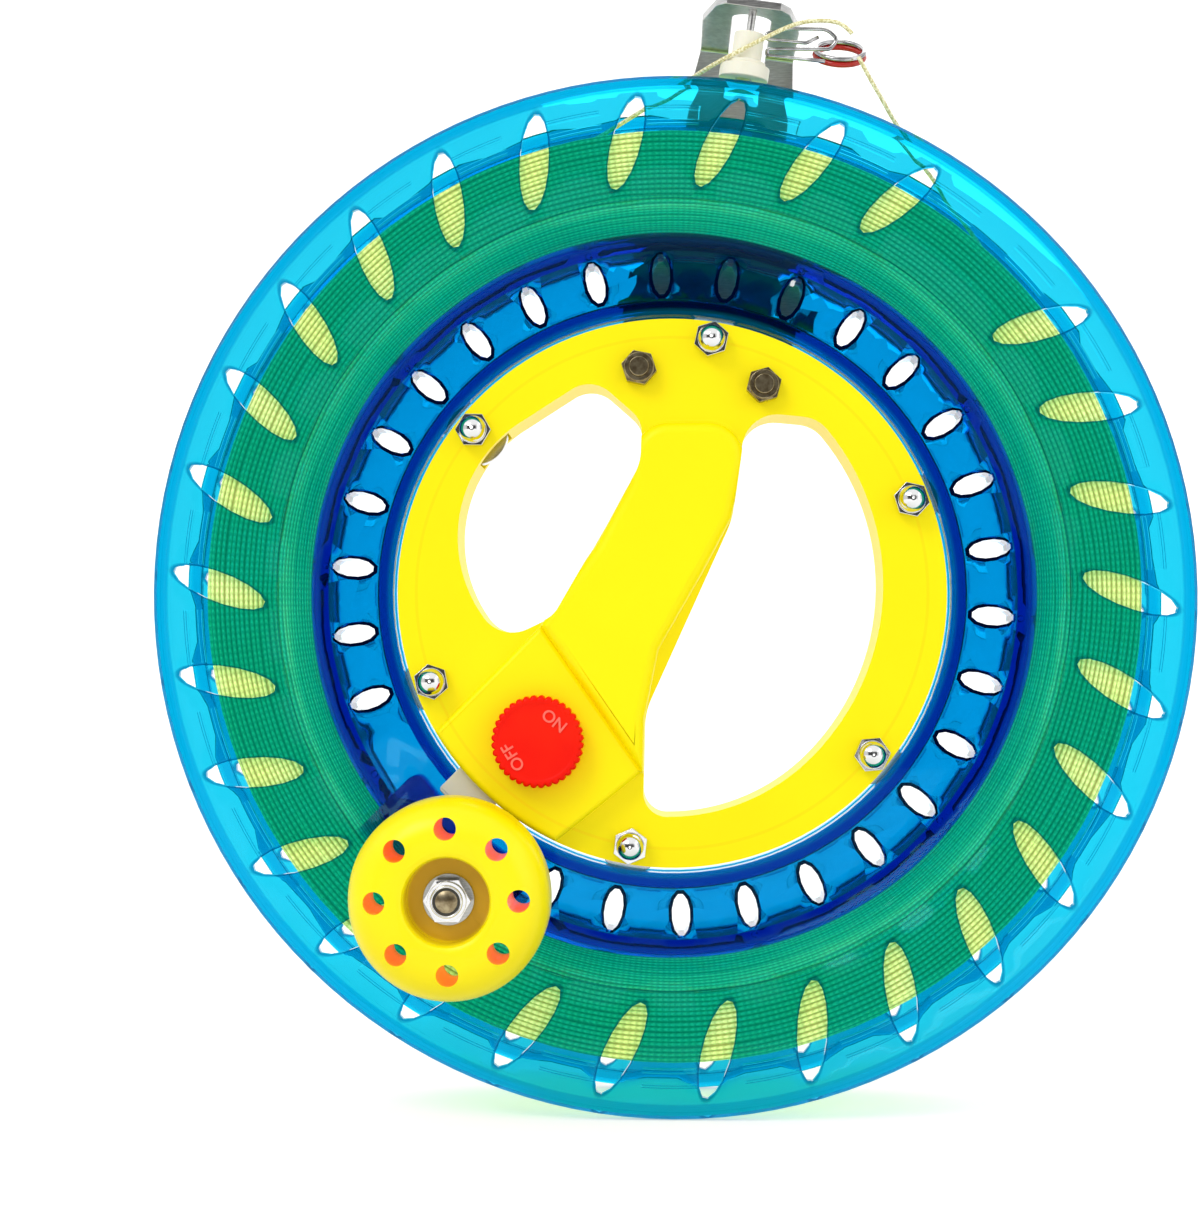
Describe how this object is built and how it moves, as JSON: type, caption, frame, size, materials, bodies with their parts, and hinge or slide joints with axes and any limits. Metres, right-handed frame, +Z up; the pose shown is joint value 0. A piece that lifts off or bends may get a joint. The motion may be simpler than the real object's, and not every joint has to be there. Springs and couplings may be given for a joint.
{
  "type": "kite line winder",
  "caption": "Hand-held kite line winder: a clear two-part wheel of wound line on six ball bearings, crank knob, friction brake, line guide.",
  "frame": {"origin": "middle of the hand grip, on the wheel's axis and in its middle plane", "axes": "-Y towards the crank knob side (front), +Z up the line guide's side, +X right seen from the front"},
  "size_m": [0.26, 0.0793, 0.2813],
  "materials": {
    "clear_blue": "clear moulded plastic",
    "yellow_plastic": "moulded, gloss",
    "red_plastic": "moulded, satin",
    "white_nylon": "natural nylon, slightly clear",
    "kite_line": "braided",
    "stainless": "brushed, bright edge",
    "chrome": "plated, polished",
    "zinc_steel": "yellow-passivated zinc",
    "bearing_steel": "ground",
    "brass": "turned",
    "red_ring_paint": "painted"
  },
  "bodies": {
    "hub": {"front_hub_plate": "yellow_plastic", "rear_hub_plate": "yellow_plastic", "bearing_inner_races": "bearing_steel", "hub_bolts": "chrome", "acorn_nuts": "chrome", "brake_insert": "brass", "line_guide_bracket": "stainless", "guide_roller_pin": "stainless", "bracket_bolts": "zinc_steel", "bracket_lock_nuts": "zinc_steel", "line_lead": "kite_line", "line_tail": "kite_line", "snap_ring": "chrome", "red_ring": "red_ring_paint", "snap_hook": "stainless"},
    "wheel": {"wheel_front_half": "clear_blue", "wheel_rear_half": "clear_blue", "line_core": "kite_line", "line_winding": "kite_line", "crank_stud": "stainless", "crank_sleeve": "brass", "crank_washer": "stainless", "crank_lock_nut": "stainless"},
    "crank_knob_body": {"crank_knob": "yellow_plastic"},
    "brake_block_body": {"brake_block": "white_nylon"},
    "brake_knob_body": {"brake_knob": "red_plastic", "brake_screw": "stainless"},
    "roller": {"guide_roller": "white_nylon"},
    "bearing_body_1": {"bearing_1": "bearing_steel"},
    "bearing_body_2": {"bearing_2": "bearing_steel"},
    "bearing_body_3": {"bearing_3": "bearing_steel"},
    "bearing_body_4": {"bearing_4": "bearing_steel"},
    "bearing_body_5": {"bearing_5": "bearing_steel"},
    "bearing_body_6": {"bearing_6": "bearing_steel"}
  },
  "joints": [
    {"name": "wheel_spin", "type": "hinge", "parent": "hub", "child": "wheel", "pos_m": [0, 0, 0], "axis": [0, -1, 0], "continuous": true},
    {"name": "crank_knob_spin", "type": "hinge", "parent": "wheel", "child": "crank_knob_body", "pos_m": [-0.05423, -0.031, -0.07519], "axis": [0, -1, 0], "continuous": true},
    {"name": "brake_press", "type": "slide", "parent": "hub", "child": "brake_block_body", "axis": [0, 1, 0], "range_m": [0, 0.0005]},
    {"name": "brake_turn", "type": "hinge", "parent": "brake_block_body", "child": "brake_knob_body", "pos_m": [-0.03352, -0.015, -0.03776], "axis": [0, 1, 0], "range_deg": [0, 150]},
    {"name": "roller_spin", "type": "hinge", "parent": "hub", "child": "roller", "pos_m": [0.01978, -0.0203, 0.13556], "axis": [0.1444, 0, 0.9895], "continuous": true},
    {"name": "bearing_spin_1", "type": "hinge", "parent": "hub", "child": "bearing_body_1", "pos_m": [0.01056, 0, 0.06414], "axis": [0, -1, 0], "continuous": true},
    {"name": "bearing_spin_2", "type": "hinge", "parent": "hub", "child": "bearing_body_2", "pos_m": [-0.05026, 0, 0.04121], "axis": [0, -1, 0], "continuous": true},
    {"name": "bearing_spin_3", "type": "hinge", "parent": "hub", "child": "bearing_body_3", "pos_m": [-0.06082, 0, -0.02292], "axis": [0, -1, 0], "continuous": true},
    {"name": "bearing_spin_4", "type": "hinge", "parent": "hub", "child": "bearing_body_4", "pos_m": [-0.01056, 0, -0.06414], "axis": [0, -1, 0], "continuous": true},
    {"name": "bearing_spin_5", "type": "hinge", "parent": "hub", "child": "bearing_body_5", "pos_m": [0.05026, 0, -0.04121], "axis": [0, -1, 0], "continuous": true},
    {"name": "bearing_spin_6", "type": "hinge", "parent": "hub", "child": "bearing_body_6", "pos_m": [0.06082, 0, 0.02292], "axis": [0, -1, 0], "continuous": true}
  ],
  "couplings": [
    {"joint": "brake_press", "follows": "brake_turn", "m_per_rad": 0.00019099},
    {"joint": "bearing_spin_1", "follows": "wheel_spin", "ratio": 9.125},
    {"joint": "bearing_spin_2", "follows": "wheel_spin", "ratio": 9.125},
    {"joint": "bearing_spin_3", "follows": "wheel_spin", "ratio": 9.125},
    {"joint": "bearing_spin_4", "follows": "wheel_spin", "ratio": 9.125},
    {"joint": "bearing_spin_5", "follows": "wheel_spin", "ratio": 9.125},
    {"joint": "bearing_spin_6", "follows": "wheel_spin", "ratio": 9.125}
  ]
}
